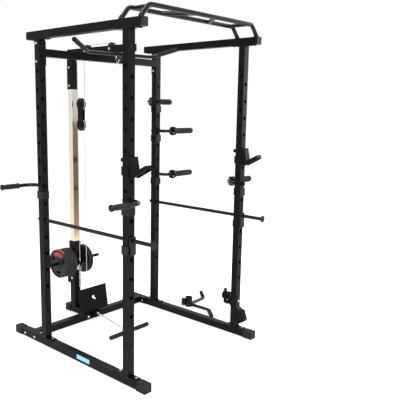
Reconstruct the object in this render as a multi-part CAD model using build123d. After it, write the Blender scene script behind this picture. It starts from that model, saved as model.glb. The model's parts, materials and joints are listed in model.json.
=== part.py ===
from build123d import *
import math
import os

# Power cage with a plate-loaded lat tower, its bars and its plug-in handles.
# Millimetres. X runs across the cage (left is -X), Y from the open front (-Y) to the tower (+Y), Z up.
# Everything is laid out about the middle of the four uprights, on the floor. The last section moves it
# so that the row's origin is the middle of the footprint.

# ---------------------------------------------------------------- driving dimensions
SPAN_X = 1110.0            # upright to upright, across
SPAN_Y = 840.0             # upright to upright, front to rear
TUBE = 50.0                # square frame tube
WALL = 2.0
BOOT_WALL = 4.0            # rubber under the base tubes
UPRIGHT_TOP = 2110.0       # underside of the top beams
FLANGE_T = 5.0             # plates at both ends of an upright
FLANGE_L = 170.0
FLANGE_BOLT = 70.0         # flange bolts, fore and aft of the upright
BASE_FRONT, BASE_REAR = -585.0, 770.0
BEAM_FRONT, BEAM_REAR = -541.0, 533.0
HOLE_R = 13.0              # upright holes for the plug-in pins
HOLE_PITCH = 117.0
HOLE_FIRST = 440.0
FRONT_HOLES = 13
SIDE_HOLE_FIRST = 1200.5
SIDE_HOLES = 7
LANDMINE_Z = 258.0
PIN_R = 12.5
CROSS_Y = 590.0            # rear base crossbeam
CROSS_BOLT = 58.0
TOP_CROSS_Z = 2024.0       # rear top crossbeam
TOP_CROSS_BOLT = 58.0
BOLT_R = 5.0
BOLT_HOLE_R = 5.4
HEAD_R = 9.0
HEAD_T = 6.0

TOWER_Y = 790.0
RAIL = 50.0
SLEEVE = 58.0
LOWER_SLEEVE_TOP = 362.0
UPPER_SLEEVE_BOTTOM = 1810.0
BOOM_TOP = 2110.0
BOOM_FRONT = 110.0
BOOM_AXLE_Z = 2088.0
FRONT_PULLEY_Y = 330.0
REAR_PULLEY_Y = 603.0
BLOCK_Y = 687.0
BLOCK_UPPER_Z = 1698.0
BLOCK_LOWER_Z = 1540.0
LOW_PULLEY_Y = 603.0
LOW_PULLEY_Z = 106.0
PULLEY_RIM = 46.0
PULLEY_GROOVE = 39.0
PULLEY_HALF = 9.0
CABLE_R = 2.5
CABLE_RUN = 42.0           # radius of the cable's centre line on a pulley
AXLE_R = 6.0
AXLE_BORE_R = 6.06

CARRIAGE_BOTTOM, CARRIAGE_TOP = 400.0, 604.0
CARRIAGE_OUT = 66.0
BUSH_OUT = 57.0
BUSH_IN = 50.4
PEG_Z = 442.0
PEG_R = 12.5
PEG_END = 245.0
PEG_GROOVE = 2.0           # spring-clip groove just outside the loaded plates
PLATE_R = 115.0
PLATE_STOP = 62.0
LEFT_PLATES, LEFT_PLATE_T = 3, 38.0
RIGHT_PLATES, RIGHT_PLATE_T = 2, 20.0

JHOOK_HOLE, SAFETY_HOLE, DIP_HOLE = 8, 4, 6          # counted up from the lowest hole
SADDLE_GAP = 1.5
SADDLE_T = 4.0
SADDLE_TOP, SADDLE_BOTTOM = -34.0, -86.0
HANDLE_BEND = 64.0
HANDLE_REACH = 95.0        # upright face to handle axis

XC, YC = SPAN_X / 2, SPAN_Y / 2
H = TUBE / 2
BASE_Z0, BASE_Z1 = BOOT_WALL, BOOT_WALL + TUBE

parts = {}


# ---------------------------------------------------------------- shape helpers
def block(x0, x1, y0, y1, z0, z1):
    """Box between two corners."""
    size = Box(abs(x1 - x0), abs(y1 - y0), abs(z1 - z0))
    return Pos((x0 + x1) / 2, (y0 + y1) / 2, (z0 + z1) / 2) * size


def rod(start, end, radius):
    """Round bar between two points."""
    a, b = Vector(*start), Vector(*end)
    plane = Plane(origin=a, z_dir=(b - a))
    return extrude(plane * Circle(radius), amount=(b - a).length)


def ring(start, end, outer, inner):
    """Round tube between two points."""
    return rod(start, end, outer) - rod(start, end, inner)


def square_tube(axis, centre, lo, hi, size=TUBE, wall=WALL):
    """Square tube along an axis. centre holds the other two coordinates in X, Y, Z order."""
    outer, inner = size / 2, size / 2 - wall
    def solid(half):
        spans = {"xyz"["xyz".index(axis)]: (lo, hi)}
        others = [name for name in "xyz" if name != axis]
        for name, mid in zip(others, centre):
            spans[name] = (mid - half, mid + half)
        return block(*spans["x"], *spans["y"], *spans["z"])
    return solid(outer) - solid(inner)


def bent_bar(points, bend, radius, wall=0.0):
    """Round bar or tube along a line whose corners are bent to one radius."""
    path = FilletPolyline(*points, radius=bend)
    section = Circle(radius)
    if wall:
        section -= Circle(radius - wall)
    start = Plane(origin=path @ 0, z_dir=path % 0)
    return sweep(start * section, path=path)


def plate_yz(points, x0, x1):
    """Flat plate with an outline in Y and Z, between two X faces."""
    face = Plane.YZ * make_face(Polyline(*points, close=True))
    return Pos(x0, 0, 0) * extrude(face, amount=x1 - x0)


def plate_xz(points, y0, y1):
    """Flat plate with an outline in X and Z, between two Y faces."""
    face = Plane.XZ * make_face(Polyline(*points, close=True))
    return Pos(0, y0, 0) * extrude(face, amount=-(y1 - y0))


def pulley(y, z):
    """Grooved sheave that turns about X, with a bore for its axle."""
    profile = [
        (-PULLEY_HALF, AXLE_BORE_R), (PULLEY_HALF, AXLE_BORE_R), (PULLEY_HALF, PULLEY_RIM),
        (PULLEY_HALF - 3, PULLEY_RIM), (3, PULLEY_GROOVE), (-3, PULLEY_GROOVE),
        (3 - PULLEY_HALF, PULLEY_RIM), (-PULLEY_HALF, PULLEY_RIM),
    ]
    wheel = revolve(make_face(Polyline(*profile, close=True)), axis=Axis.X)
    return Pos(0, y, z) * wheel


def bolt(head, direction, length, nut_at=None):
    """Hex bolt. head is the face it bears on and direction the way its shank points."""
    d = Vector(*direction)
    seat = Vector(*head)
    hexagon = RegularPolygon(HEAD_R, 6)
    body = extrude(Plane(origin=seat, z_dir=d * -1) * hexagon, amount=HEAD_T)
    body += extrude(Plane(origin=seat, z_dir=d) * Circle(BOLT_R), amount=length)
    if nut_at is not None:
        body += extrude(Plane(origin=seat + d * nut_at, z_dir=d) * hexagon, amount=HEAD_T)
    return body


def cable_arc(y, z, start_deg, end_deg):
    """Cable lying in a pulley's groove, between two angles counted from +Y towards +Z."""
    arc = CenterArc((0, 0, 0), CABLE_RUN, start_deg, end_deg - start_deg)
    line = Pos(0, y, z) * (Plane.YZ * arc)
    start = Plane(origin=line @ 0, z_dir=line % 0)
    return sweep(start * Circle(CABLE_R), path=line)


def add(name, *solids):
    """Keep one node: a solid, or a group of separate solids."""
    shapes = [s for solid in solids for s in solid.solids()]
    parts[name] = shapes[0] if len(shapes) == 1 else Compound(children=shapes)


def hole_z(index):
    return HOLE_FIRST + HOLE_PITCH * index


# ---------------------------------------------------------------- base, uprights and top beams
frame_bolts = []
for side, x in (("left", -XC), ("right", XC)):
    tube = square_tube("y", (x, (BASE_Z0 + BASE_Z1) / 2), BASE_FRONT, BASE_REAR)
    for y in (-YC, YC):
        for dy in (-FLANGE_BOLT, FLANGE_BOLT):
            tube -= rod((x, y + dy, 40), (x, y + dy, 60), BOLT_HOLE_R)
    inward = -1 if x > 0 else 1
    for dy in (-CROSS_BOLT, CROSS_BOLT):
        outer = (x - inward * H, CROSS_Y + dy, 29)
        tube -= rod((x - 30, CROSS_Y + dy, 29), (x + 30, CROSS_Y + dy, 29), BOLT_HOLE_R)
        frame_bolts.append(bolt(outer, (inward, 0, 0), TUBE + 16, nut_at=TUBE + 6))
    add(f"base_tube_{side}", tube)

boots = []
for x in (-XC, XC):
    for end, inside in ((BASE_FRONT - 5, 1), (BASE_REAR + 5, -1)):
        boot = block(x - 29, x + 29, end, end + inside * 75, 0, 58)
        boot = fillet(boot.edges().group_by(Axis.Z)[-1], 5)
        boots.append(boot - block(x - H, x + H, end + inside * 5, end + inside * 80, BASE_Z0, BASE_Z1))
tower_boot = block(-29, 29, 825, 890, 0, 58)
tower_boot = fillet(tower_boot.edges().group_by(Axis.Z)[-1], 5)
boots.append(tower_boot - block(-H, H, 800, 885, BASE_Z0, BASE_Z1))
for x in (-XC, XC):
    for end, inside in ((BEAM_FRONT, 1), (BEAM_REAR, -1)):
        plug = block(x - H, x + H, end, end - inside * 4, UPRIGHT_TOP, UPRIGHT_TOP + TUBE)
        plug = fillet(plug.edges().filter_by(Axis.Y), 3)
        plug += block(x - 22.8, x + 22.8, end, end + inside * 18, UPRIGHT_TOP + 2.2, UPRIGHT_TOP + TUBE - 2.2)
        boots.append(plug)
add("rubber_end_caps", *boots)


def upright(x, y, top_bolts):
    """Perforated upright with a welded flange at each end."""
    tube = square_tube("z", (x, y), BASE_Z1 + FLANGE_T, UPRIGHT_TOP - FLANGE_T)
    drills = [rod((x, y - 30, hole_z(k)), (x, y + 30, hole_z(k)), HOLE_R) for k in range(FRONT_HOLES)]
    for k in range(SIDE_HOLES):
        z = SIDE_HOLE_FIRST + HOLE_PITCH * k
        drills.append(rod((x - 30, y, z), (x + 30, y, z), HOLE_R))
    drills.append(rod((x, y - 30, LANDMINE_Z), (x, y + 30, LANDMINE_Z), 6.0))
    if top_bolts:
        for dz in (-TOP_CROSS_BOLT, TOP_CROSS_BOLT):
            drills.append(rod((x - 30, y, TOP_CROSS_Z + dz), (x + 30, y, TOP_CROSS_Z + dz), BOLT_HOLE_R))
    post = tube - Compound(children=[d for drill in drills for d in drill.solids()])
    for z0 in (BASE_Z1, UPRIGHT_TOP - FLANGE_T):
        flange = block(x - H, x + H, y - FLANGE_L / 2, y + FLANGE_L / 2, z0, z0 + FLANGE_T)
        for dy in (-FLANGE_BOLT, FLANGE_BOLT):
            flange -= rod((x, y + dy, z0 - 1), (x, y + dy, z0 + FLANGE_T + 1), BOLT_HOLE_R)
        post += flange
    return post


for front, y in (("front", -YC), ("rear", YC)):
    for side, x in (("left", -XC), ("right", XC)):
        add(f"upright_{front}_{side}", upright(x, y, front == "rear"))
        for dy in (-FLANGE_BOLT, FLANGE_BOLT):
            frame_bolts.append(bolt((x, y + dy, BASE_Z1 + FLANGE_T), (0, 0, -1), 16))
            frame_bolts.append(bolt((x, y + dy, UPRIGHT_TOP - FLANGE_T), (0, 0, 1), 16))

for side, x in (("left", -XC), ("right", XC)):
    beam = square_tube("y", (x, UPRIGHT_TOP + H), BEAM_FRONT, BEAM_REAR)
    for y in (-YC, YC):
        for dy in (-FLANGE_BOLT, FLANGE_BOLT):
            beam -= rod((x, y + dy, UPRIGHT_TOP - 2), (x, y + dy, UPRIGHT_TOP + 12), BOLT_HOLE_R)
    add(f"top_beam_{side}", beam)

# ---------------------------------------------------------------- crossbeams
base_cross = square_tube("x", (CROSS_Y, (BASE_Z0 + BASE_Z1) / 2), 6 + H - XC, XC - H - 6)
top_cross = square_tube("x", (YC, TOP_CROSS_Z), 5 + H - XC, XC - H - 5)
for s in (-1, 1):
    inner = s * (XC - H)
    foot = block(inner, inner - s * 6, CROSS_Y - 85, CROSS_Y + 85, BASE_Z0, BASE_Z1)
    for dy in (-CROSS_BOLT, CROSS_BOLT):
        foot -= rod((inner + 5, CROSS_Y + dy, 29), (inner - s * 12, CROSS_Y + dy, 29), BOLT_HOLE_R)
        foot -= rod((inner - 5, CROSS_Y + dy, 29), (inner + 5, CROSS_Y + dy, 29), BOLT_HOLE_R)
    base_cross += foot
    head = block(inner, inner - s * 5, YC - H, YC + H, TOP_CROSS_Z - 82, UPRIGHT_TOP - 10)
    for dz in (-TOP_CROSS_BOLT, TOP_CROSS_BOLT):
        head -= rod((inner - 12, YC, TOP_CROSS_Z + dz), (inner + 12, YC, TOP_CROSS_Z + dz), BOLT_HOLE_R)
        frame_bolts.append(bolt((s * (XC + H), YC, TOP_CROSS_Z + dz), (-s, 0, 0), TUBE + 14, nut_at=TUBE + 5))
    top_cross += head
add("rear_base_crossbeam", base_cross)
add("rear_top_crossbeam", top_cross)

# ---------------------------------------------------------------- multi-grip pull-up bars
PULL_R = 14.0
PULL_Z = 2234.0
PULL_FRONT_Y, PULL_REAR_Y = -518.0, -360.0
PULL_TOP_X = 497.0
bars = []
for y in (PULL_FRONT_Y, PULL_REAR_Y):
    foot_z = UPRIGHT_TOP + TUBE
    line = [(-XC, y, foot_z), (-XC + 6, y, foot_z + 14), (-PULL_TOP_X, y, PULL_Z),
            (PULL_TOP_X, y, PULL_Z), (XC - 6, y, foot_z + 14), (XC, y, foot_z)]
    run = bent_bar([line[1], line[2], line[3], line[4]], 45, PULL_R, 2.5)
    stubs = [ring((s * XC, y, foot_z), (s * XC, y, foot_z + 13), PULL_R + 3, PULL_R - 2.5) for s in (-1, 1)]
    knees = [Pos(s * (XC - 3), y, foot_z + 14) * Sphere(PULL_R) for s in (-1, 1)]
    bar = run + stubs[0] + stubs[1] + knees[0] + knees[1]
    bar -= block(-XC - 30, XC + 30, y - 30, y + 30, foot_z - 40, foot_z)
    bars.append(bar)
add("pull_up_bars", *bars)
cross_grips = []
y_span = (PULL_FRONT_Y, PULL_REAR_Y)
for x_front, x_rear, radius in ((-458, -458, 13), (458, 458, 13), (-95, -230, 14), (95, 230, 14)):
    grip = rod((x_front, PULL_FRONT_Y, PULL_Z), (x_rear, PULL_REAR_Y, PULL_Z), radius)
    for y in y_span:
        grip -= rod((-480, y, PULL_Z), (480, y, PULL_Z), PULL_R + 0.02)
    cross_grips.append(max(grip.solids(), key=lambda s: s.volume))
add("pull_up_cross_grips", *cross_grips)

# ---------------------------------------------------------------- lat tower
boom_z = BOOM_TOP - H
boom = square_tube("y", (0, boom_z), BOOM_FRONT, TOWER_Y + SLEEVE / 2)
for y in (FRONT_PULLEY_Y, REAR_PULLEY_Y):
    boom -= block(-13, 13, y - 54, y + 54, BOOM_TOP - 60, BOOM_TOP + 10)
    boom -= rod((-30, y, BOOM_AXLE_Z), (30, y, BOOM_AXLE_Z), AXLE_R + 0.1)
    axle = rod((-H - 7, y, BOOM_AXLE_Z), (H + 7, y, BOOM_AXLE_Z), AXLE_R)
    for s in (-1, 1):
        face = Plane(origin=(s * H, y, BOOM_AXLE_Z), z_dir=(s, 0, 0))
        axle += extrude(face * RegularPolygon(10, 6), amount=7)
    frame_bolts.append(axle)
boom += block(-H, H, BOOM_FRONT - 3, BOOM_FRONT, BOOM_TOP - TUBE, BOOM_TOP)
boom += block(-35, 35, YC - 40, YC + 40, TOP_CROSS_Z + H, BOOM_TOP - TUBE)
anchor_y = BLOCK_Y + CABLE_RUN
boom += block(-4, 4, anchor_y - 12, anchor_y + 12, BOOM_TOP - TUBE - 22, BOOM_TOP - TUBE)
sleeve_wall = (SLEEVE - RAIL) / 2 - 0.2
sleeve = square_tube("z", (0, TOWER_Y), UPPER_SLEEVE_BOTTOM, BOOM_TOP - TUBE, SLEEVE, sleeve_wall)
for z in (1838.0, 1975.0):
    sleeve -= rod((-35, TOWER_Y, z), (35, TOWER_Y, z), BOLT_HOLE_R)
    frame_bolts.append(bolt((-SLEEVE / 2, TOWER_Y, z), (1, 0, 0), SLEEVE + 8, nut_at=SLEEVE))
add("lat_boom", boom + sleeve)

rail = square_tube("z", (0, TOWER_Y), BASE_Z1 + 3, BOOM_TOP - TUBE - 3, RAIL, 2.0)
for z in (1838.0, 1975.0, 295.0):
    rail -= rod((-35, TOWER_Y, z), (35, TOWER_Y, z), BOLT_HOLE_R)
add("guide_rail", rail)

base = square_tube("y", (0, (BASE_Z0 + BASE_Z1) / 2), CROSS_Y + H + 5, 885)
base += block(-75, 75, CROSS_Y + H, CROSS_Y + H + 5, BASE_Z0, BASE_Z1)
post = square_tube("z", (0, TOWER_Y), BASE_Z1, LOWER_SLEEVE_TOP, SLEEVE, (SLEEVE - RAIL) / 2 - 0.2)
post += block(-22, 22, TOWER_Y + SLEEVE / 2, TOWER_Y + SLEEVE / 2 + 45, 245, 300)
post -= rod((-35, TOWER_Y, 295), (35, TOWER_Y, 295), BOLT_HOLE_R)
frame_bolts.append(bolt((-SLEEVE / 2, TOWER_Y, 295), (1, 0, 0), SLEEVE + 8, nut_at=SLEEVE))
tower_base = base + post
for s in (-1, 1):
    tower_base -= rod((s * 55, CROSS_Y + H - 1, 29), (s * 55, CROSS_Y + H + 8, 29), BOLT_HOLE_R)
    base_cross -= rod((s * 55, CROSS_Y - H - 2, 29), (s * 55, CROSS_Y + H + 2, 29), BOLT_HOLE_R)
    frame_bolts.append(bolt((s * 55, CROSS_Y - H, 29), (0, 1, 0), TUBE + 12, nut_at=TUBE + 5))
add("rear_base_crossbeam", base_cross)
add("tower_base", tower_base)

# foot plate, leaning back over the low pulley, with the pulley's ears
FOOT_LOW, FOOT_HIGH = (545.0, 72.0), (575.0, 262.0)
foot_plate = plate_yz([FOOT_LOW, (FOOT_LOW[0] + 4, FOOT_LOW[1]), (FOOT_HIGH[0] + 4, FOOT_HIGH[1]), FOOT_HIGH],
                      -140, 140)
foot_plate -= rod((-2, 500, 182), (-2, 620, 182), 12)
foot_plate -= plate_xz([(-2, 176), (6, 182), (22, 162), (14, 156)], 500, 620)
for x in (-64.0, 58.0):
    foot_plate += plate_yz([(566, BASE_Z1), (612, BASE_Z1), (581, 232), (574.3, 232),
                            (549.1, 72.4), (549.1, 66)], x, x + 6)
for x in (-17.0, 13.0):
    foot_plate += plate_yz([(567, BASE_Z1), (614, BASE_Z1), (625, 90), (618, 124),
                            (588, 124), (577, 80)], x, x + 4)
for x in (-18.0, 14.0):
    foot_plate += plate_yz([(505, 40), (515, 28), (565, 28), (565, 52), (535, 86), (512, 80)], x, x + 4)
foot_plate -= rod((-30, LOW_PULLEY_Y, LOW_PULLEY_Z), (30, LOW_PULLEY_Y, LOW_PULLEY_Z), AXLE_R + 0.1)
add("foot_plate", foot_plate)
frame_bolts.append(rod((-24, LOW_PULLEY_Y, LOW_PULLEY_Z), (24, LOW_PULLEY_Y, LOW_PULLEY_Z), AXLE_R)
                   + extrude(Plane(origin=(-17, LOW_PULLEY_Y, LOW_PULLEY_Z), z_dir=(-1, 0, 0))
                             * RegularPolygon(10, 6), amount=7)
                   + extrude(Plane(origin=(17, LOW_PULLEY_Y, LOW_PULLEY_Z), z_dir=(1, 0, 0))
                             * RegularPolygon(10, 6), amount=7))

# ---------------------------------------------------------------- pulleys, block and cables
add("boom_front_pulley", pulley(FRONT_PULLEY_Y, BOOM_AXLE_Z))
add("boom_rear_pulley", pulley(REAR_PULLEY_Y, BOOM_AXLE_Z))
add("low_pulley", pulley(LOW_PULLEY_Y, LOW_PULLEY_Z))
add("block_upper_pulley", pulley(BLOCK_Y, BLOCK_UPPER_Z))
add("block_lower_pulley", pulley(BLOCK_Y, BLOCK_LOWER_Z))

housing = []
for s in (-1, 1):
    side = block(s * 10.5, s * 14.5, BLOCK_Y - 27, BLOCK_Y + 27, BLOCK_LOWER_Z, BLOCK_UPPER_Z)
    for z in (BLOCK_LOWER_Z, BLOCK_UPPER_Z):
        side += rod((s * 10.5, BLOCK_Y, z), (s * 14.5, BLOCK_Y, z), 27)
    housing.append(side)
cage_block = housing[0] + housing[1]
for z in (BLOCK_LOWER_Z, BLOCK_UPPER_Z):
    cage_block += rod((-19, BLOCK_Y, z), (19, BLOCK_Y, z), AXLE_R)
    for s in (-1, 1):
        nut = Plane(origin=(s * 14.5, BLOCK_Y, z), z_dir=(s, 0, 0)) * RegularPolygon(10, 6)
        cage_block += extrude(nut, amount=6)
for dy in (-14, 14):
    spacer_z = (BLOCK_LOWER_Z + BLOCK_UPPER_Z) / 2
    cage_block += rod((-18, BLOCK_Y + dy, spacer_z), (18, BLOCK_Y + dy, spacer_z), 5)
add("pulley_block", cage_block)

boom_tangent = REAR_PULLEY_Y + CABLE_RUN
drop_y = FRONT_PULLEY_Y - CABLE_RUN
cable_top = BOOM_AXLE_Z + CABLE_RUN
lat_bar_ring_z = 2013.0
fixed_cables = [
    cable_arc(FRONT_PULLEY_Y, BOOM_AXLE_Z, 90, 180),
    rod((0, FRONT_PULLEY_Y, cable_top), (0, REAR_PULLEY_Y, cable_top), CABLE_R),
    cable_arc(REAR_PULLEY_Y, BOOM_AXLE_Z, 0, 90),
    cable_arc(LOW_PULLEY_Y, LOW_PULLEY_Z, -90, 0),
    rod((0, LOW_PULLEY_Y, LOW_PULLEY_Z - CABLE_RUN), (0, 520, LOW_PULLEY_Z - CABLE_RUN), CABLE_R),
]
upper_run = fixed_cables[0] + fixed_cables[1] + fixed_cables[2]
lower_run = fixed_cables[3] + fixed_cables[4]
add("fixed_cables", upper_run, lower_run)
add("lat_cable_drop", rod((0, drop_y, lat_bar_ring_z), (0, drop_y, BOOM_AXLE_Z), CABLE_R))
block_front, block_rear = BLOCK_Y - CABLE_RUN, BLOCK_Y + CABLE_RUN
add("block_cable",
    rod((0, block_front, BLOCK_UPPER_Z), (0, block_front, BOOM_AXLE_Z), CABLE_R)
    + cable_arc(BLOCK_Y, BLOCK_UPPER_Z, 180, 360)
    + rod((0, block_rear, BLOCK_UPPER_Z), (0, block_rear, BOOM_TOP - TUBE - 22), CABLE_R))
hook_z = 440.0
add("low_cable",
    rod((0, block_front, LOW_PULLEY_Z), (0, block_front, BLOCK_LOWER_Z), CABLE_R)
    + cable_arc(BLOCK_Y, BLOCK_LOWER_Z, 0, 180)
    + rod((0, block_rear, hook_z), (0, block_rear, BLOCK_LOWER_Z), CABLE_R))

# ---------------------------------------------------------------- weight carriage
carriage = square_tube("z", (0, TOWER_Y), CARRIAGE_BOTTOM, CARRIAGE_TOP, CARRIAGE_OUT,
                       (CARRIAGE_OUT - BUSH_OUT) / 2)
half = CARRIAGE_OUT / 2
for s in (-1, 1):
    gusset = [(s * half, 560), (s * PLATE_STOP, 524), (s * PLATE_STOP, 410), (s * half, 400)]
    carriage += plate_xz(gusset, TOWER_Y - 22, TOWER_Y + 22)
    carriage += rod((s * (PLATE_STOP - 8), TOWER_Y, PEG_Z), (s * PEG_END, TOWER_Y, PEG_Z), PEG_R)
    loaded = LEFT_PLATES * LEFT_PLATE_T if s < 0 else RIGHT_PLATES * RIGHT_PLATE_T
    groove, groove_end = s * (PLATE_STOP + loaded + 2), s * (PLATE_STOP + loaded + 2 + PEG_GROOVE)
    carriage -= ring((groove, TOWER_Y, PEG_Z), (groove_end, TOWER_Y, PEG_Z), PEG_R + 2, PEG_R - 1)
front = TOWER_Y - half
eye = block(-4, 4, block_rear - 12, front, CARRIAGE_BOTTOM + 4, CARRIAGE_BOTTOM + 40)
eye -= rod((-6, block_rear, CARRIAGE_BOTTOM + 16), (6, block_rear, CARRIAGE_BOTTOM + 16), 7)
add("weight_carriage", carriage + eye)

bushings = []
for z0 in (CARRIAGE_BOTTOM + 2, CARRIAGE_TOP - 42):
    bushing_wall = (BUSH_OUT - 0.1 - BUSH_IN) / 2
    bushings.append(square_tube("z", (0, TOWER_Y), z0, z0 + 40, BUSH_OUT - 0.1, bushing_wall))
add("carriage_bushings", *bushings)


def weight_plate(x0, x1):
    """Cast plate with a rim, a dished face and a bore that slides on the peg."""
    t = x1 - x0
    bore = PEG_R + 0.4
    profile = [(x0, bore), (x1, bore), (x1, 34), (x1 - t * 0.18, 42), (x1 - t * 0.18, PLATE_R - 20),
               (x1, PLATE_R - 12), (x1, PLATE_R - 5), (x1 - 5, PLATE_R), (x0 + 5, PLATE_R), (x0, PLATE_R - 5),
               (x0, PLATE_R - 12), (x0 + t * 0.18, PLATE_R - 20), (x0 + t * 0.18, 42), (x0, 34)]
    disc = revolve(make_face(Polyline(*profile, close=True)), axis=Axis.X)
    disc = Pos(0, TOWER_Y, PEG_Z) * disc
    for angle in (-90, 30, 150):
        a = math.radians(angle)
        cy, cz = TOWER_Y + 70 * math.cos(a), PEG_Z + 70 * math.sin(a)
        slot = Pos((x0 + x1) / 2, cy, cz) * Rot(angle + 90, 0, 0) * Box(t + 4, 46, 22)
        slot = fillet(slot.edges().filter_by(Axis.X), 10)
        disc -= slot
    return disc


plates = []
for k in range(LEFT_PLATES):
    plates.append(weight_plate(-PLATE_STOP - LEFT_PLATE_T * (k + 1) + 0.3, -PLATE_STOP - LEFT_PLATE_T * k))
for k in range(RIGHT_PLATES):
    plates.append(weight_plate(PLATE_STOP + RIGHT_PLATE_T * k, PLATE_STOP + RIGHT_PLATE_T * (k + 1) - 0.3))
add("weight_plates", *plates)


def link(centre, along, across, length, width, wire):
    """Closed oval link of round wire."""
    x_dir = Vector(*along).normalized()
    normal = x_dir.cross(Vector(*across)).normalized()
    plane = Plane(origin=Vector(*centre), x_dir=x_dir, z_dir=normal)
    straight = (length - width) / 2
    path = Wire([
        Line((-straight, width / 2), (straight, width / 2)).edge(),
        ThreePointArc((straight, width / 2), (straight + width / 2, 0), (straight, -width / 2)).edge(),
        Line((straight, -width / 2), (-straight, -width / 2)).edge(),
        ThreePointArc((-straight, -width / 2), (-straight - width / 2, 0), (-straight, width / 2)).edge(),
    ])
    path = plane * path
    section = Plane(origin=path @ 0, z_dir=path % 0) * Circle(wire)
    return sweep(section, path=path)


hook_links = []
pitch = 17.0
for k in range(10):
    side = (0, 1, 0) if k % 2 else (1, 0, 0)
    long, wide = (42, 18) if k == 0 else (24, 13)
    z = CARRIAGE_BOTTOM - 2 if k == 0 else CARRIAGE_BOTTOM - 29 - pitch * (k - 1)
    hook_links.append(link((0, block_rear, z), (0, 0, 1), side, long, wide, 2.5 if k else 3.0))
add("carriage_hook_chain", *hook_links)

# ---------------------------------------------------------------- lat bar
LAT_CENTRE = (0.0, 237.0, 2043.0)
LAT_YAW, LAT_ROLL = -6.7, -57.0
LAT_HALF, LAT_ARM, LAT_BEND = 275.0, 205.0, 34.0
arm_x = LAT_HALF + LAT_ARM * math.cos(math.radians(LAT_BEND))
arm_z = LAT_ARM * math.sin(math.radians(LAT_BEND))
lat_place = Pos(*LAT_CENTRE) * Rot(0, 0, LAT_YAW) * Rot(-LAT_ROLL, 0, 0)
lat_tab = Pos(*LAT_CENTRE) * Rot(0, 0, LAT_YAW) * Rot(45, 0, 0)
lat_bar = lat_place * bent_bar([(-arm_x, 0, arm_z), (-LAT_HALF, 0, 0), (LAT_HALF, 0, 0), (arm_x, 0, arm_z)],
                               90, PIN_R, 2.5)
tab = block(-20, 20, -3, 3, -44, -PIN_R + 1.5) + rod((0, -3, -44), (0, 3, -44), 20)
tab -= rod((0, -5, -44), (0, 5, -44), 8)
tab -= rod((-30, 0, 0), (30, 0, 0), PIN_R - 0.5)
add("lat_bar", lat_bar + lat_tab * tab)


def sleeve_grip(start, end, outer, inner):
    """Foam sleeve with rounded rims."""
    grip = ring(start, end, outer, inner)
    rims = [e for e in grip.edges().filter_by(GeomType.CIRCLE) if abs(e.radius - outer) < 0.01]
    return fillet(rims, 2.5)


arm_dir = Vector(math.cos(math.radians(LAT_BEND)), 0, math.sin(math.radians(LAT_BEND)))
grips = []
for s in (-1, 1):
    end = Vector(s * arm_x, 0, arm_z)
    inward = Vector(-s * arm_dir.X, 0, -arm_dir.Z)
    grips.append(lat_place * sleeve_grip(tuple(end), tuple(end + inward * 150), 16, PIN_R + 0.1))
add("lat_bar_grips", *grips)

tab_hole = (lat_tab * Pos(0, 0, -44)).position
away = ((lat_tab * Pos(0, 0, -45)).position - tab_hole).normalized()
across_tab = (lat_tab * Pos(0, 1, -44)).position - tab_hole
clip = link(tuple(tab_hole + away * 14), tuple(away), tuple(across_tab), 33, 20, 3.0)
add("lat_carabiner", clip)

# ---------------------------------------------------------------- row bar, chain and low clip
ROW_Y, ROW_Z, ROW_HALF = 147.0, 16.0, 195.0
row = ring((-ROW_HALF, ROW_Y, ROW_Z), (ROW_HALF, ROW_Y, ROW_Z), PIN_R, PIN_R - 2.5)
row_tab = block(-16, 16, ROW_Y + PIN_R - 1.5, ROW_Y + 44, ROW_Z - 3, ROW_Z + 3)
row_tab += rod((0, ROW_Y + 44, ROW_Z - 3), (0, ROW_Y + 44, ROW_Z + 3), 16)
row_tab -= rod((0, ROW_Y + 44, 0), (0, ROW_Y + 44, 40), 8)
row_tab -= rod((-30, ROW_Y, ROW_Z), (30, ROW_Y, ROW_Z), PIN_R - 0.5)
add("row_bar", row + row_tab)
add("row_bar_grips", *[sleeve_grip((s * ROW_HALF, ROW_Y, ROW_Z), (s * (ROW_HALF - 130), ROW_Y, ROW_Z),
                                   16, PIN_R + 0.1) for s in (-1, 1)])
chain = []
links, first_y, last_y = 17, ROW_Y + 60, 470.0
slope = 0.13
for k in range(links):
    y = first_y + (last_y - first_y) * k / (links - 1)
    z = ROW_Z + (y - first_y) * slope
    direction = Vector(0, 1, slope if k else 0).normalized()
    side = Vector(1, 0, 0) if k % 2 else direction.cross(Vector(1, 0, 0))
    chain.append(link((0, y, z), tuple(direction), tuple(side), 26, 13, 2.5))
chain.append(link((0, 493, 54), (0, 1, slope), (1, 0, 0), 40, 18, 3))
add("row_chain", *chain)


# ---------------------------------------------------------------- plug-in attachments
def saddle(side):
    """U-shaped steel saddle, below the pin, round one side of the upright.

    The pin's axis is Y through the origin and the upright fills |x|, |y| < 25. side is the wrapped side.
    """
    reach = H + SADDLE_GAP
    u = block(side * reach, side * (reach + SADDLE_T), -reach - SADDLE_T, reach + SADDLE_T,
              SADDLE_BOTTOM, SADDLE_TOP)
    for s in (-1, 1):
        u += block(side * (reach + SADDLE_T), -side * (reach - 1), s * reach, s * (reach + SADDLE_T),
                   SADDLE_BOTTOM, SADDLE_TOP)
    return u


def j_hook():
    """Bar hook in front of the upright (-Y), its pin through the upright."""
    face = -H - SADDLE_GAP
    def outline(points):
        return [(face + y, z) for y, z in points]
    shape = plate_yz(outline([(0, 22), (-24, 25), (-43, -62), (-131, -17), (-138, -40), (-128, -50),
                              (-30, -101), (-10, -97), (0, -86)]), -25, 25)
    cavity = plate_yz(outline([(-5, 30), (-18, 30), (-38, -72), (-122, -30), (-150, -45), (-120, -80),
                               (-30, -130), (-5, -110)]), -20, 20)
    hook = shape - cavity
    hook += rod((0, face, 0), (0, face + 82, 0), PIN_R)
    hook += saddle(-1)
    return hook


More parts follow.
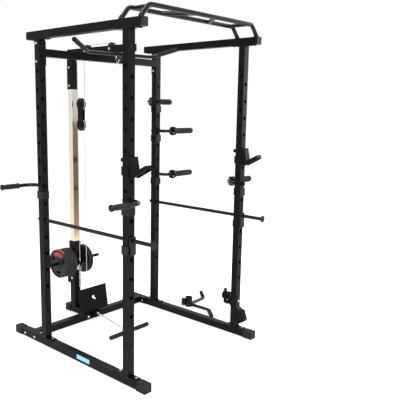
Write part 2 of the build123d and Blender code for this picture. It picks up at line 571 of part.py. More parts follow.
def handle_arm(out, side, length, wall):
    """L-shaped tube: a pin through the upright, a bend, and an arm along X.

    out is -1 when the arm stands in front of the upright and 1 behind it; side is the arm's direction.
    """
    reach = H + HANDLE_REACH
    path = [(0, -out * (H + 17), 0), (0, out * reach, 0), (side * length, out * reach, 0)]
    arm = bent_bar(path, HANDLE_BEND, PIN_R, wall)
    collar = rod((0, out * (H + SADDLE_GAP), 0), (0, out * (H + SADDLE_GAP + 6), 0), 21)
    collar -= rod((0, out * 20, 0), (0, out * 40, 0), PIN_R - 0.5)
    web = block(-9, 9, out * (H + SADDLE_GAP), out * (H + SADDLE_GAP + SADDLE_T), -60, -14)
    return arm + collar + web + saddle(side)


FOAM_START, FOAM_LENGTH, FOAM_R = 88.0, 229.0, 23.75


def foam_roller(out, side):
    """Foam roller on a handle's arm, with a domed end."""
    y = out * (H + HANDLE_REACH)
    straight = FOAM_LENGTH - FOAM_R
    roller = rod((side * FOAM_START, y, 0), (side * (FOAM_START + straight), y, 0), FOAM_R)
    roller += Pos(side * (FOAM_START + straight), y, 0) * Sphere(FOAM_R)
    return roller - rod((side * (FOAM_START - 2), y, 0), (side * (FOAM_START + straight), y, 0), PIN_R + 0.1)


def rubber_grip(out, side, start, end):
    """Moulded grip with a flange at each end and a swelling middle."""
    y = out * (H + HANDLE_REACH)
    mid = (start + end) / 2
    bulge = ThreePointArc((start + 8, 16), (mid, 18), (end - 8, 16))
    near = Polyline((start, PIN_R + 0.1), (start, 20), (start + 7, 20), (start + 8, 16))
    far = Polyline((end - 8, 16), (end - 7, 20), (end, 20), (end, PIN_R + 0.1), (start, PIN_R + 0.1))
    outline = Wire([*near.edges(), bulge.edge(), *far.edges()])
    grip = revolve(make_face(outline), axis=Axis.X)
    grip += rod((end, 0, 0), (end + 3, 0, 0), 19)
    if side < 0:
        grip = mirror(grip, about=Plane.YZ)
    return Pos(0, y, 0) * grip


j_z, safety_z, dip_z = hole_z(JHOOK_HOLE), hole_z(SAFETY_HOLE), hole_z(DIP_HOLE)
for name, x in (("left", -XC), ("right", XC)):
    add(f"j_hook_{name}", Pos(x, -YC, j_z) * j_hook())

SAFETY_FRONT, SAFETY_REAR = -625.0, 475.0
for name, x in (("left", -XC), ("right", XC)):
    bar = ring((x, SAFETY_FRONT, safety_z), (x, SAFETY_REAR, safety_z), PIN_R, PIN_R - 2.5)
    bar += rod((x, SAFETY_FRONT - 5, safety_z), (x, SAFETY_FRONT, safety_z), 24)
    face = -YC - H - SADDLE_GAP
    ear = block(x - 22, x + 22, face - 14, face, safety_z - 86, safety_z + 22)
    ear -= rod((x, face - 20, safety_z), (x, face + 5, safety_z), PIN_R - 0.5)
    add(f"safety_bar_{name}", bar + ear + Pos(x, -YC, safety_z) * saddle(-1 if x < 0 else 1))

for name, x, y, out, side in (("front", -XC, -YC, -1, -1), ("rear", -XC, YC, 1, -1)):
    add(f"dip_handle_{name}", Pos(x, y, dip_z) * handle_arm(out, side, 246, 2.5))
    add(f"dip_grip_{name}", Pos(x, y, dip_z) * rubber_grip(out, side, 118, 246.2))

rollers = (("upper_rear", XC, YC, 11, 1), ("upper_front", XC, YC, 9, -1),
           ("lower_rear", XC, YC, 6, -1), ("lower_front", XC, -YC, 6, 1))
for name, x, y, hole, out in rollers:
    arm = handle_arm(out, 1, FOAM_START + 200, 2.5)
    axis_y = out * (H + HANDLE_REACH)
    stop = rod((66, axis_y, 0), (FOAM_START - 0.2, axis_y, 0), 35.5)
    stop -= rod((60, axis_y, 0), (FOAM_START + 2, axis_y, 0), PIN_R - 0.5)
    add(f"roller_handle_{name}", Pos(x, y, hole_z(hole)) * (arm + stop))
    add(f"foam_roller_{name}", Pos(x, y, hole_z(hole)) * foam_roller(out, 1))

# ---------------------------------------------------------------- landmine
LM_Y = -YC + H             # rear face of the front right upright
LM_Z = 280.0
PIVOT_Y = LM_Y + 48
LM_REST_YAW = 8.0          # the sleeve is parked turned slightly into the cage
SLEEVE_OUT, SLEEVE_IN = 30.5, 26.0
SLEEVE_HALF = 33.5
EAR_IN, EAR_OUT = 31.0, 37.0
TRUNNION_R = 5.0
SHELF_Z = 222.0

bracket = block(XC - 27, XC + 27, LM_Y, LM_Y + 5, SHELF_Z - 8, LM_Z - 12)
bracket += block(XC - 20, XC + 20, LM_Y + 5, PIVOT_Y + 16, SHELF_Z, SHELF_Z + 6)
bracket += rod((XC, PIVOT_Y, SHELF_Z - 8), (XC, PIVOT_Y, SHELF_Z + 11.4), 6)
bracket += rod((XC, PIVOT_Y, SHELF_Z - 8), (XC, PIVOT_Y, SHELF_Z), 11)
bracket -= rod((XC, LM_Y - 1, LANDMINE_Z), (XC, LM_Y + 8, LANDMINE_Z), BOLT_HOLE_R)
frame_bolts.append(bolt((XC, -YC - H, LANDMINE_Z), (0, 1, 0), TUBE + 4.8))
front_face = -YC - H
wedge = plate_yz([(front_face, 100), (front_face - 34, 96), (front_face - 70, 118), (front_face - 72, 132),
                  (front_face - 48, 196), (front_face - 24, 200), (front_face, 216)], XC - 22, XC + 22)
add("landmine_bracket", bracket, wedge)

# The swivel parts are drawn about the pivot, then turned to their parked direction.
parked = Pos(XC, PIVOT_Y, 0) * Rot(0, 0, LM_REST_YAW)
yoke = block(-EAR_OUT, EAR_OUT, -14, 14, SHELF_Z + 6.4, SHELF_Z + 11.4)
for s in (-1, 1):
    yoke += block(s * EAR_IN, s * EAR_OUT, -14, 14, SHELF_Z + 6.4, LM_Z + 4)
    yoke += rod((s * EAR_IN, 0, LM_Z), (s * EAR_OUT, 0, LM_Z), 14)
yoke -= rod((0, 0, SHELF_Z), (0, 0, SHELF_Z + 20), 6.06)
yoke -= rod((-50, 0, LM_Z), (50, 0, LM_Z), TRUNNION_R + 0.06)
add("landmine_yoke", parked * yoke)

cup = ring((0, -SLEEVE_HALF, LM_Z), (0, SLEEVE_HALF, LM_Z), SLEEVE_OUT, SLEEVE_IN)
cup += rod((0, -SLEEVE_HALF, LM_Z), (0, 5 - SLEEVE_HALF, LM_Z), SLEEVE_OUT)
for s in (-1, 1):
    cup += rod((s * (SLEEVE_OUT - 2), 0, LM_Z), (s * (EAR_OUT + 2), 0, LM_Z), TRUNNION_R)
KNOB_Y = 18.0
cup += ring((0, KNOB_Y, LM_Z + 27.5), (0, KNOB_Y, LM_Z + 38), 10, TRUNNION_R + 0.06)
cup -= rod((0, KNOB_Y, LM_Z + 20), (0, KNOB_Y, LM_Z + 50), TRUNNION_R + 0.06)
add("landmine_sleeve", parked * cup)

knob = rod((0, KNOB_Y, LM_Z + 27), (0, KNOB_Y, LM_Z + 44), TRUNNION_R)
knob += rod((0, KNOB_Y, LM_Z + 38.3), (0, KNOB_Y, LM_Z + 50), 11)
for k in range(6):
    a = math.radians(60 * k)
    lobe = (11 * math.cos(a), KNOB_Y + 11 * math.sin(a))
    knob += rod((*lobe, LM_Z + 38.3), (*lobe, LM_Z + 50), 4)
add("landmine_knob", parked * knob)

# ---------------------------------------------------------------- V handle for the landmine bar
V_MID = (872.0, 103.0)
V_ANGLE = 47.0             # direction of its grips, from +X
V_DEPTH, V_HALF, V_Z = 150.0, 305.0, 17.0
v_place = Pos(V_MID[0], V_MID[1], 0) * Rot(0, 0, V_ANGLE)
v = ring((0, V_DEPTH, 0), (0, V_DEPTH, 80), 30.5, 26)
v += ring((0, V_DEPTH + 46.5, 12), (0, V_DEPTH + 46.5, 66), 18, 15)
v -= rod((0, V_DEPTH, -1), (0, V_DEPTH, 90), 26)
for s in (-1, 1):
    arm = bent_bar([(s * 18, V_DEPTH - 22, V_Z), (s * 105, V_DEPTH - 110, V_Z), (s * 150, 0, V_Z),
                    (s * V_HALF, 0, V_Z)], 40, 12.5, 2.5)
    v += arm - rod((0, V_DEPTH, -1), (0, V_DEPTH, 90), 30.4)
add("v_handle", v_place * v)
add("v_handle_grips", *[v_place * sleeve_grip((s * V_HALF, 0, V_Z), (s * (V_HALF - 140), 0, V_Z),
                                              16.9, 12.6) for s in (-1, 1)])

add("frame_bolts", *frame_bolts)

# ---------------------------------------------------------------- origin and export
everything = Compound(children=[s for shape in parts.values() for s in shape.solids()]).bounding_box()
shift = (-everything.center().X, -everything.center().Y, -everything.min.Z)
print("shift", [round(v, 3) for v in shift], "size", [round(v, 1) for v in everything.size])
os.makedirs("parts", exist_ok=True)
for name, shape in parts.items():
    export_step(Pos(*shift) * shape, f"parts/{name}.step")
print(len(parts), "nodes")
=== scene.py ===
import bpy
import json
import math
from mathutils import Matrix, Vector


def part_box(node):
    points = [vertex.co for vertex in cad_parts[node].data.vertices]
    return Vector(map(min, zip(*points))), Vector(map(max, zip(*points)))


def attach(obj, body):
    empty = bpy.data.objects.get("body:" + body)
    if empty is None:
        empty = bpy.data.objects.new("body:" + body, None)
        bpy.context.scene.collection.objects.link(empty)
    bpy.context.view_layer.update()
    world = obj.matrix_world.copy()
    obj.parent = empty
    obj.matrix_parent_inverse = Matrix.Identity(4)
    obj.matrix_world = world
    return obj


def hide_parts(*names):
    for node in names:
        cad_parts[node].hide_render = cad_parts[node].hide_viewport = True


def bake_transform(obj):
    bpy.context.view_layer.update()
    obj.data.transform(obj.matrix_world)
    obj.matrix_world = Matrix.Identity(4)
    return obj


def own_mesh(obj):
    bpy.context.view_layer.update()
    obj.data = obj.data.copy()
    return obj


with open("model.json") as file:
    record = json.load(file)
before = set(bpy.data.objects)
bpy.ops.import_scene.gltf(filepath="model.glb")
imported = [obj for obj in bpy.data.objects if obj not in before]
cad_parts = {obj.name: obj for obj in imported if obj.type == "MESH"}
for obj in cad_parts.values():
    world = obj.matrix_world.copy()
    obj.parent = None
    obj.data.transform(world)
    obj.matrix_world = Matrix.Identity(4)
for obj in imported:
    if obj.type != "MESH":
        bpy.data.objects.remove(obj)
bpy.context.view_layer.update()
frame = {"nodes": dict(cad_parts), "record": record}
nodes = frame["nodes"]
scene = bpy.context.scene

# Offset from the cage's own middle to the row's origin, in metres.
SHIFT = Vector((-0.143568, -0.1375, 0.0))
CABLE_R = 0.0025
GRIP_BORE = 0.0127         # inner radius of every sleeve pushed onto a 25 mm bar
STOP_RIM = [(0, 0.034), (0.0015, 0.0356), (0.0185, 0.0356), (0.02, 0.034)]
SCREW_HEAD = [(0, 0.0006), (0, 0.0035), (0.001, 0.0045), (0.0035, 0.0045), (0.0035, 0.0006)]
END_PLUG = [(0.0004, 0.0008), (0.0004, 0.0095), (0.0016, 0.0124), (0.006, 0.0124), (0.006, 0.0008)]
FERRULE = [(0, 0.001), (0, 0.0045), (0.002, 0.0055), (0.022, 0.0055), (0.024, 0.0045), (0.024, 0.001)]


def at(x, y, z):
    """Point given in millimetres about the middle of the four uprights."""
    return Vector((x, y, z)) / 1000 + SHIFT


# ---------------------------------------------------------------- materials
def material(name, color, metallic=0.0, roughness=0.5, vary=0.0, grain=0.0, scale=60.0, rough_vary=0.0,
             coat=0.0, specular=0.5, bump_distance=0.0006):
    """Principled material with optional colour variation, roughness variation and fine surface grain."""
    m = bpy.data.materials.new(name)
    m.use_nodes = True
    tree = m.node_tree
    shader = tree.nodes["Principled BSDF"]
    shader.inputs["Base Color"].default_value = (*color, 1)
    shader.inputs["Metallic"].default_value = metallic
    shader.inputs["Roughness"].default_value = roughness
    shader.inputs["Coat Weight"].default_value = coat
    shader.inputs["Coat Roughness"].default_value = 0.12
    shader.inputs["Specular IOR Level"].default_value = specular
    coords = tree.nodes.new("ShaderNodeTexCoord")
    if vary:
        noise = tree.nodes.new("ShaderNodeTexNoise")
        noise.inputs["Scale"].default_value = 7.0
        noise.inputs["Detail"].default_value = 4.0
        tree.links.new(coords.outputs["Object"], noise.inputs["Vector"])
        ramp = tree.nodes.new("ShaderNodeValToRGB")
        ramp.color_ramp.elements[0].position = 0.35
        ramp.color_ramp.elements[1].position = 0.7
        ramp.color_ramp.elements[0].color = (*[c * (1 - vary) for c in color], 1)
        ramp.color_ramp.elements[1].color = (*[min(1, c * (1 + vary)) for c in color], 1)
        tree.links.new(noise.outputs["Fac"], ramp.inputs["Fac"])
        tree.links.new(ramp.outputs["Color"], shader.inputs["Base Color"])
    if rough_vary:
        smudge = tree.nodes.new("ShaderNodeTexNoise")
        smudge.inputs["Scale"].default_value = 22.0
        smudge.inputs["Detail"].default_value = 5.0
        tree.links.new(coords.outputs["Object"], smudge.inputs["Vector"])
        span = tree.nodes.new("ShaderNodeMapRange")
        span.inputs["To Min"].default_value = max(0.02, roughness - rough_vary)
        span.inputs["To Max"].default_value = min(1.0, roughness + rough_vary)
        tree.links.new(smudge.outputs["Fac"], span.inputs["Value"])
        tree.links.new(span.outputs["Result"], shader.inputs["Roughness"])
    if grain:
        fine = tree.nodes.new("ShaderNodeTexNoise")
        fine.inputs["Scale"].default_value = scale
        fine.inputs["Detail"].default_value = 3.0
        tree.links.new(coords.outputs["Object"], fine.inputs["Vector"])
        bump = tree.nodes.new("ShaderNodeBump")
        bump.inputs["Strength"].default_value = grain
        bump.inputs["Distance"].default_value = bump_distance
        tree.links.new(fine.outputs["Fac"], bump.inputs["Height"])
        tree.links.new(bump.outputs["Normal"], shader.inputs["Normal"])
    return m


def rail_painted_reflection_material():
    """Chrome with painted reflections in its base colour, drifting along its height: a warm, darker painted
    reflection on the front face and pale painted reflections on the sides.
    """
    m = material("rail_chrome_painted_reflection", (0.8, 0.79, 0.77), metallic=1.0, roughness=0.1, rough_vary=0.05)
    tree = m.node_tree
    shader = tree.nodes["Principled BSDF"]
    coords = tree.nodes["Texture Coordinate"]
    split = tree.nodes.new("ShaderNodeSeparateXYZ")
    half = tree.nodes.new("ShaderNodeMath")
    half.operation = "MULTIPLY"
    half.inputs[1].default_value = 0.5
    tree.links.new(coords.outputs["Object"], split.inputs["Vector"])
    tree.links.new(split.outputs["Z"], half.inputs[0])

    # each ramp paints reflections into the chrome's base colour according to height
    def painted_reflection_ramp(stops):
        ramp = tree.nodes.new("ShaderNodeValToRGB")
        points = ramp.color_ramp.elements
        points[0].position, points[0].color = stops[0][0], (*stops[0][1], 1)
        points[1].position, points[1].color = stops[-1][0], (*stops[-1][1], 1)
        for position, color in stops[1:-1]:
            points.new(position).color = (*color, 1)
        tree.links.new(half.outputs["Value"], ramp.inputs["Fac"])
        return ramp

    # painted reflection on the front face: warm browns with a dark band partway up, pale again at the top
    front = painted_reflection_ramp(((0.0, (0.6, 0.5, 0.36)), (0.3, (0.55, 0.45, 0.31)), (0.36, (0.2, 0.13, 0.055)),
                  (0.56, (0.16, 0.11, 0.055)), (0.76, (0.2, 0.15, 0.09)), (0.8, (0.5, 0.45, 0.38)),
                  (0.95, (0.7, 0.67, 0.62))))
    # painted reflection on the sides: pale and warm at the foot, greyer towards the top
    side_painted_reflection = painted_reflection_ramp(((0.0, (0.62, 0.55, 0.43)), (0.4, (0.66, 0.6, 0.49)), (0.7, (0.7, 0.67, 0.6)),
                  (0.95, (0.74, 0.73, 0.7))))
    # front-facing normals mix the front's painted reflection over the sides' painted reflection
    facing = tree.nodes.new("ShaderNodeSeparateXYZ")
    tree.links.new(coords.outputs["Normal"], facing.inputs["Vector"])
    front_reflection_mask = tree.nodes.new("ShaderNodeMath")
    front_reflection_mask.operation = "MULTIPLY"
    front_reflection_mask.use_clamp = True
    front_reflection_mask.inputs[1].default_value = -1.0
    tree.links.new(facing.outputs["Y"], front_reflection_mask.inputs[0])
    mix = tree.nodes.new("ShaderNodeMix")
    mix.data_type = "RGBA"
    tree.links.new(front_reflection_mask.outputs["Value"], mix.inputs["Factor"])
    tree.links.new(side_painted_reflection.outputs["Color"], mix.inputs["A"])
    tree.links.new(front.outputs["Color"], mix.inputs["B"])
    tree.links.new(mix.outputs["Result"], shader.inputs["Base Color"])
    return m


POWDER = material("powder_black", (0.0034, 0.0028, 0.0024), roughness=0.36, vary=0.25, grain=0.25, scale=900.0,
                  rough_vary=0.07, specular=0.08, bump_distance=0.0003)
GLOSS_TUBE = material("bar_black", (0.004, 0.004, 0.0044), roughness=0.24, vary=0.2, grain=0.15, scale=900.0,
                      rough_vary=0.05, specular=0.2, bump_distance=0.0002)
# rail chrome whose base colour carries painted reflections
RAIL = rail_painted_reflection_material()
ZINC = material("zinc_plate", (0.68, 0.68, 0.67), metallic=1.0, roughness=0.24, vary=0.12, rough_vary=0.08)
CABLE = material("coated_cable", (0.4, 0.4, 0.39), metallic=0.25, roughness=0.38, grain=0.5, scale=700.0,
                 coat=0.4)
RUBBER = material("boot_rubber", (0.007, 0.0068, 0.0065), roughness=0.6, vary=0.3, grain=0.4, scale=260.0,
                  specular=0.2)
FOAM = material("foam_skin", (0.016, 0.013, 0.012), roughness=0.85, vary=0.25, grain=0.9, scale=420.0,
                specular=0.15, bump_distance=0.0008)
GRIP = material("grip_rubber", (0.006, 0.0064, 0.0078), roughness=0.44, vary=0.2, grain=0.3, scale=500.0,
                specular=0.18)
NYLON = material("pulley_nylon", (0.009, 0.009, 0.009), roughness=0.42, vary=0.15, grain=0.2, scale=300.0,
                 specular=0.25)
VINYL = material("plate_vinyl_shell", (0.007, 0.007, 0.008), roughness=0.5, vary=0.22, grain=0.7, scale=230.0,
                 rough_vary=0.08, specular=0.25)
RED = material("red_patch", (0.36, 0.018, 0.022), roughness=0.45, vary=0.15, grain=0.2, scale=200.0)
BLUE = material("blue_sticker", (0.22, 0.5, 0.7), roughness=0.35, vary=0.08)
KNOB = material("knob_plastic_black", (0.007, 0.007, 0.0075), roughness=0.5, grain=0.4, scale=400.0,
                specular=0.25)

BY_SLOT = {"powder_coat": POWDER, "chrome": RAIL, "zinc": ZINC, "cable": CABLE, "rubber": RUBBER, "foam": FOAM,
           "nylon": NYLON, "plate_vinyl": VINYL, "knob_plastic": KNOB}
GLOSSY = ("lat_bar", "row_bar", "v_handle", "pull_up_bars", "pull_up_cross_grips", "safety_bar_left",
          "safety_bar_right", "dip_handle_front", "dip_handle_rear", "roller_handle_upper_rear",
          "roller_handle_upper_front", "roller_handle_lower_rear", "roller_handle_lower_front")
slot_names = {s["node"]: s["material_slot"] for s in frame["record"]["subparts"]}
for node_name, node in nodes.items():
    finish = GLOSS_TUBE if node_name in GLOSSY else BY_SLOT[slot_names[node_name]]
    node.data.materials.clear()
    node.data.materials.append(finish)


# ---------------------------------------------------------------- mesh helpers
def piece(name, verts, faces, mat, body, smooth=True, sharp=40):
    """New visual piece that rides on a body."""
    mesh = bpy.data.meshes.new(name)
    mesh.from_pydata([tuple(v) for v in verts], [], faces)
    mesh.validate()
    mesh.update()
    mesh.materials.append(mat)
    obj = bpy.data.objects.new(name, mesh)
    scene.collection.objects.link(obj)
    if smooth:
        mesh.shade_smooth()
        mesh.set_sharp_from_angle(angle=math.radians(sharp))
    if body:
        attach(obj, body)
    return obj


def lathe(name, origin, axis, profile, mat, body, segments=64, scallop=None, sharp=40):
    """Solid of revolution about an axis, from a closed profile of (distance along the axis, radius)."""
    axis = Vector(axis).normalized()
    u = axis.orthogonal().normalized()
    w = axis.cross(u)
    verts, faces = [], []
    for k in range(segments):
        a = 2 * math.pi * k / segments
        out = u * math.cos(a) + w * math.sin(a)
        for i, (along, radius) in enumerate(profile):
            r = radius * (scallop(i, a) if scallop else 1.0)
            verts.append(origin + axis * along + out * r)
    n = len(profile)
    for k in range(segments):
        nxt = (k + 1) % segments
        for i in range(n - 1):
            faces.append((k * n + i, nxt * n + i, nxt * n + i + 1, k * n + i + 1))
        faces.append((k * n + n - 1, nxt * n + n - 1, nxt * n, k * n))
    return piece(name, verts, faces, mat, body, sharp=sharp)


def rod_mesh(points, radius, segments=12):
    """Vertices and faces of a round rod through points, with flat ends."""
    verts, faces = [], []
    side = None
    for i, p in enumerate(points):
        ahead = points[min(i + 1, len(points) - 1)] - points[max(i - 1, 0)]
        ahead.normalize()
        side = ahead.orthogonal() if side is None else side - ahead * side.dot(ahead)
        side.normalize()
        up = ahead.cross(side)
        for k in range(segments):
            a = 2 * math.pi * k / segments
            verts.append(p + side * (radius * math.cos(a)) + up * (radius * math.sin(a)))
    for i in range(len(points) - 1):
        for k in range(segments):
            n = (k + 1) % segments
            faces.append((i * segments + k, i * segments + n, (i + 1) * segments + n, (i + 1) * segments + k))
    faces.append(tuple(range(segments))[::-1])
    last = (len(points) - 1) * segments
    faces.append(tuple(range(last, last + segments)))
    return verts, faces


def rod_piece(name, points, radius, mat, body, segments=12):
    verts, faces = rod_mesh(points, radius, segments)
    return piece(name, verts, faces, mat, body)


def foam_profile(length, outer, inner, rim=0.0025, crown=0.0004, steps=10):
    """Closed profile of a foam sleeve with rolled rims and a slightly fuller middle."""
    points = [(0.0, inner), (0.0, outer - rim)]
    for k in range(1, 5):
        a = math.pi / 2 * k / 4
        points.append((rim - rim * math.cos(a), outer - rim + rim * math.sin(a)))
    for k in range(1, steps):
        f = k / steps
        points.append((rim + (length - 2 * rim) * f, outer - crown + crown * math.sin(math.pi * f)))
    for k in range(0, 5):
        a = math.pi / 2 * (1 - k / 4)
        points.append((length - rim + rim * math.cos(a), outer - rim + rim * math.sin(a)))
    points.append((length, inner))
    return points


# ---------------------------------------------------------------- foam rollers and sleeves
for where in ("upper_rear", "upper_front", "lower_rear", "lower_front"):
    node = f"foam_roller_{where}"
    lo, hi = (Vector(c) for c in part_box(node))
    radius = (hi.z - lo.z) / 2 - 0.0002
    length = hi.x - lo.x
    start = Vector((lo.x, (lo.y + hi.y) / 2, (lo.z + hi.z) / 2))
    profile = foam_profile(length - radius, radius, 0.0128)[:-6]
    for k in range(0, 13):
        a = math.pi / 2 * k / 12
        profile.append((length - radius + (radius - 0.0003) * math.sin(a), max(0.0004, radius * math.cos(a))))
    profile.append((length - radius + 0.001, 0.0004))
    profile.append((length - radius - 0.004, 0.0128))
    roller = lathe(f"roller_foam_{where}", start, (1, 0, 0), profile, FOAM, f"roller_{where}")
    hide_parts(node)
    lathe(f"roller_stop_rim_{where}", start - Vector((0.0205, 0, 0)), (1, 0, 0), STOP_RIM, POWDER,
          f"roller_{where}")
    for turn in (35, 215):
        a = math.radians(turn)
        head = start + Vector((-0.0245, 0.026 * math.cos(a), 0.026 * math.sin(a)))
        lathe(f"roller_stop_screw_{where}_{turn}", head, (1, 0, 0), SCREW_HEAD, ZINC, f"roller_{where}",
              segments=20)

lat_place = Matrix.Translation(at(0, 237, 2043)) @ Matrix.Rotation(math.radians(-6.7), 4, "Z") \
    @ Matrix.Rotation(math.radians(57), 4, "X")
v_place = Matrix.Translation(at(872, 103, 0)) @ Matrix.Rotation(math.radians(47), 4, "Z")
LAT_HALF, LAT_ARM, LAT_BEND = 0.275, 0.205, math.radians(34)
arm_x, arm_z = LAT_HALF + LAT_ARM * math.cos(LAT_BEND), LAT_ARM * math.sin(LAT_BEND)
sleeves = []
for side in (-1, 1):
    tag = "left" if side < 0 else "right"
    end = lat_place @ Vector((side * arm_x, 0, arm_z))
    back = lat_place.to_3x3() @ Vector((-side * math.cos(LAT_BEND), 0, -math.sin(LAT_BEND)))
    sleeves.append((f"lat_grip_{tag}", end, back, 0.150, 0.016, "lat_handle", "lat_bar_grips"))
    sleeves.append((f"row_grip_{tag}", at(side * 195, 147, 16), Vector((-side, 0, 0)), 0.130, 0.016,
                    "row_handle", "row_bar_grips"))
    end = v_place @ Vector((side * 0.305, 0, 0.017))
    back = v_place.to_3x3() @ Vector((-side, 0, 0))
    sleeves.append((f"v_grip_{tag}", end, back, 0.140, 0.0169, "v_grip", "v_handle_grips"))
for name, start, direction, length, radius, body, node in sleeves:
    grip = lathe(name, start, direction, foam_profile(length, radius - 0.0001, GRIP_BORE), FOAM, body,
                 segments=48)
    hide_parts(node)
    lathe(f"{name}_end_plug", start, direction, END_PLUG, KNOB, body, segments=32)

# ---------------------------------------------------------------- ribbed rubber grips
for tag in ("front", "rear"):
    node = f"dip_grip_{tag}"
    lo, hi = (Vector(c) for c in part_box(node))
    start = Vector((hi.x, (lo.y + hi.y) / 2, (lo.z + hi.z) / 2))
    length = hi.x - lo.x
    body = f"dip_{tag[0]}"
    profile = [(0.0, GRIP_BORE), (0.0, 0.0192), (0.0008, 0.0199), (0.0062, 0.0199), (0.0072, 0.0185),
               (0.0085, 0.0158)]
    ribs = 15
    for k in range(ribs * 4 + 1):
        f = k / (ribs * 4)
        swell = 0.0155 + 0.0018 * math.sin(math.pi * f)
        groove = 0.0007 if k % 4 in (1, 2) else 0.0
        profile.append((0.0095 + (length - 0.0225) * f, swell + groove))
    profile += [(length - 0.0125, 0.0158), (length - 0.011, 0.0185), (length - 0.010, 0.0199),
                (length - 0.004, 0.0199), (length - 0.001, 0.0189), (length - 0.0002, 0.015),
                (length - 0.0002, 0.0006), (length - 0.003, 0.0006), (length - 0.003, GRIP_BORE)]
    grip = lathe(f"ribbed_grip_{tag}", start, (-1, 0, 0), profile, GRIP, body, segments=56, sharp=60)
    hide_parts(node)

# ---------------------------------------------------------------- cables as straight rods
RUN = 42.0                 # distance of each cable run from its pulley's axle, in millimetres
BLOCK_Y, UPPER_SHEAVE_Z, LOWER_SHEAVE_Z = 687, 1698, 1540
BOOM_AXLE_Z, LOW_AXLE_Z, ANCHOR_Z, LAT_EYE_Z, CARRIAGE_EYE_Z = 2088, 106, 2038, 2013, 440
front_y, block_front, block_rear = 330 - RUN, BLOCK_Y - RUN, BLOCK_Y + RUN


def stretching(name, top, bottom, node):
    """Straight run of cable from top to bottom, baked into world space, replacing the hidden CAD node."""
    run = rod_piece(name, [top, bottom], CABLE_R, CABLE, None)
    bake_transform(run)
    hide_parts(node)
    return run


def arc_points(y, z, a0, a1, steps=24):
    return [at(0, y + RUN * math.cos(math.radians(a0 + (a1 - a0) * k / steps)),
               z + RUN * math.sin(math.radians(a0 + (a1 - a0) * k / steps))) for k in range(steps + 1)]


stretching("cable_to_lat_bar", at(0, front_y, BOOM_AXLE_Z), at(0, front_y, LAT_EYE_Z),
           "lat_cable_drop")
stretching("cable_front_run_upper", at(0, block_front, BOOM_AXLE_Z), at(0, block_front, UPPER_SHEAVE_Z),
           "block_cable")
stretching("cable_rear_run_upper", at(0, block_rear, ANCHOR_Z), at(0, block_rear, UPPER_SHEAVE_Z),
           "block_cable")
upper_turn = rod_piece("cable_round_upper_sheave", arc_points(BLOCK_Y, UPPER_SHEAVE_Z, 180, 360), CABLE_R,
                       CABLE, "block")
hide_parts("block_cable")
stretching("cable_front_run_lower", at(0, block_front, LOW_AXLE_Z), at(0, block_front, LOWER_SHEAVE_Z),
           "low_cable")
lower_turn = rod_piece("cable_round_lower_sheave", arc_points(BLOCK_Y, LOWER_SHEAVE_Z, 0, 180), CABLE_R, CABLE,
                       "block")
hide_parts("low_cable")
# The rear run is attached to the carriage as a whole; on the real machine its top goes with the block, which
# moves half as far.
carriage_eye = at(0, block_rear, CARRIAGE_EYE_Z)
rear_run = rod_piece("cable_rear_run_lower", [carriage_eye, at(0, block_rear, LOWER_SHEAVE_Z)], CABLE_R, CABLE,
                     "carriage")
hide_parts("low_cable")
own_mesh(rear_run)
row_cable_z = 64.0
row_run = rod_piece("cable_to_row_bar", [at(0, 522, row_cable_z), at(0, 512, row_cable_z - 4)], CABLE_R, CABLE,
                    None)
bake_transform(row_run)
for name, spot, body in (("ferrule_lat", at(0, front_y, 2013), "lat_handle"),
                         ("ferrule_carriage", at(0, block_rear, 441), "carriage"),
                         ("ferrule_anchor", at(0, block_rear, 2012), "frame")):
    lathe(name, spot, (0, 0, 1), FERRULE, ZINC, body, segments=24)

# ---------------------------------------------------------------- plates, label and small trim
lo, hi = (Vector(c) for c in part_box("weight_plates"))
plate_centre = Vector((0, (lo.y + hi.y) / 2, (lo.z + hi.z) / 2))
outer_x = lo.x + 38.0 * 0.18 / 1000 - 0.0006
# A red arc on the outermost left plate's face, and one on its rim above it.
patch_angles = [math.radians(52 + 76 * k / 24) for k in range(25)]
verts, faces = [], []
for a in patch_angles:
    for r in (0.062, 0.092):
        verts.append(Vector((outer_x, plate_centre.y + r * math.cos(a), plate_centre.z + r * math.sin(a))))
for k in range(24):
    faces.append((2 * k, 2 * k + 1, 2 * k + 3, 2 * k + 2))
piece("plate_red_patch", verts, faces, RED, "carriage")
verts, faces = [], []
for a in patch_angles:
    for x, r in ((lo.x + 0.0006, 0.1122), (lo.x + 0.0036, 0.1157), (lo.x + 0.016, 0.1159)):
        verts.append(Vector((x, plate_centre.y + r * math.cos(a), plate_centre.z + r * math.sin(a))))
for k in range(24):
    for i in range(2):
        faces.append((3 * k + i, 3 * k + i + 1, 3 * k + 4 + i, 3 * k + 3 + i))
piece("plate_red_rim", verts, faces, RED, "carriage")

label_x = at(-555 - 25, 0, 0).x - 0.0004
piece("blue_label", [Vector((label_x, at(0, y, 0).y, z / 1000)) for y, z in
                     ((-78, 20), (52, 20), (52, 50), (-78, 50))], [(0, 1, 2, 3)], BLUE, "frame",
      smooth=False)

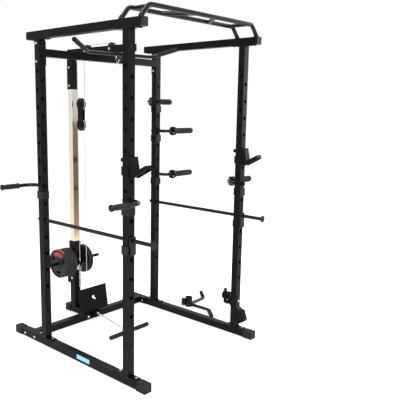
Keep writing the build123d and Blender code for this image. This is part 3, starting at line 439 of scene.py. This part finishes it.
# ---------------------------------------------------------------- stage, light and camera
bpy.ops.mesh.primitive_plane_add(size=400, location=(0, 0, -0.0005))
floor = bpy.context.active_object
floor.name = "studio_floor"
PAPER = material("floor_white", (0.9, 0.9, 0.9), roughness=0.9, specular=0.0)
PAPER.node_tree.nodes["Principled BSDF"].inputs["Emission Color"].default_value = (1, 1, 1, 1)
PAPER.node_tree.nodes["Principled BSDF"].inputs["Emission Strength"].default_value = 0.2
floor.data.materials.append(PAPER)

world = bpy.data.worlds.new("studio")
scene.world = world
world.use_nodes = True
world.node_tree.nodes["Background"].inputs["Color"].default_value = (1, 1, 1, 1)
world.node_tree.nodes["Background"].inputs["Strength"].default_value = 1.0


def softbox(name, location, target, size, power):
    light = bpy.data.lights.new(name, "AREA")
    light.shape = "RECTANGLE"
    light.size, light.size_y = size
    light.energy = power
    obj = bpy.data.objects.new(name, light)
    scene.collection.objects.link(obj)
    obj.location = location
    obj.rotation_mode = "QUATERNION"
    obj.rotation_quaternion = (Vector(target) - Vector(location)).to_track_quat("-Z", "Y")


softbox("key", (-3.4, -3.6, 3.6), (0, 0, 1.0), (2.2, 2.2), 190)
softbox("side", (3.6, -1.6, 2.4), (0, 0, 1.0), (1.2, 2.8), 90)
softbox("top", (0, 0.4, 4.4), (0, 0, 1.0), (3.0, 3.0), 90)

yaw, pitch, roll = math.radians(47.222), math.radians(9.631), math.radians(0.645)
forward = Vector((math.sin(yaw) * math.cos(pitch), math.cos(yaw) * math.cos(pitch), -math.sin(pitch)))
level = Vector((math.cos(yaw), -math.sin(yaw), 0))
above = level.cross(forward)
right = level * math.cos(roll) + above * math.sin(roll)
up = above * math.cos(roll) - level * math.sin(roll)
camera_data = bpy.data.cameras.new("camera")
camera = bpy.data.objects.new("camera", camera_data)
scene.collection.objects.link(camera)
camera.matrix_world = Matrix.Translation(at(-2772.2, -2733.0, 1673.1)) @ Matrix((
    (right.x, up.x, -forward.x), (right.y, up.y, -forward.y), (right.z, up.z, -forward.z))).to_4x4()
camera_data.sensor_width = 36
camera_data.lens = 557.8 * 36 / 400
camera_data.shift_x, camera_data.shift_y = 0.096, 0.0075
camera_data.clip_start, camera_data.clip_end = 0.1, 400
scene.camera = camera
scene.view_settings.view_transform = "Standard"
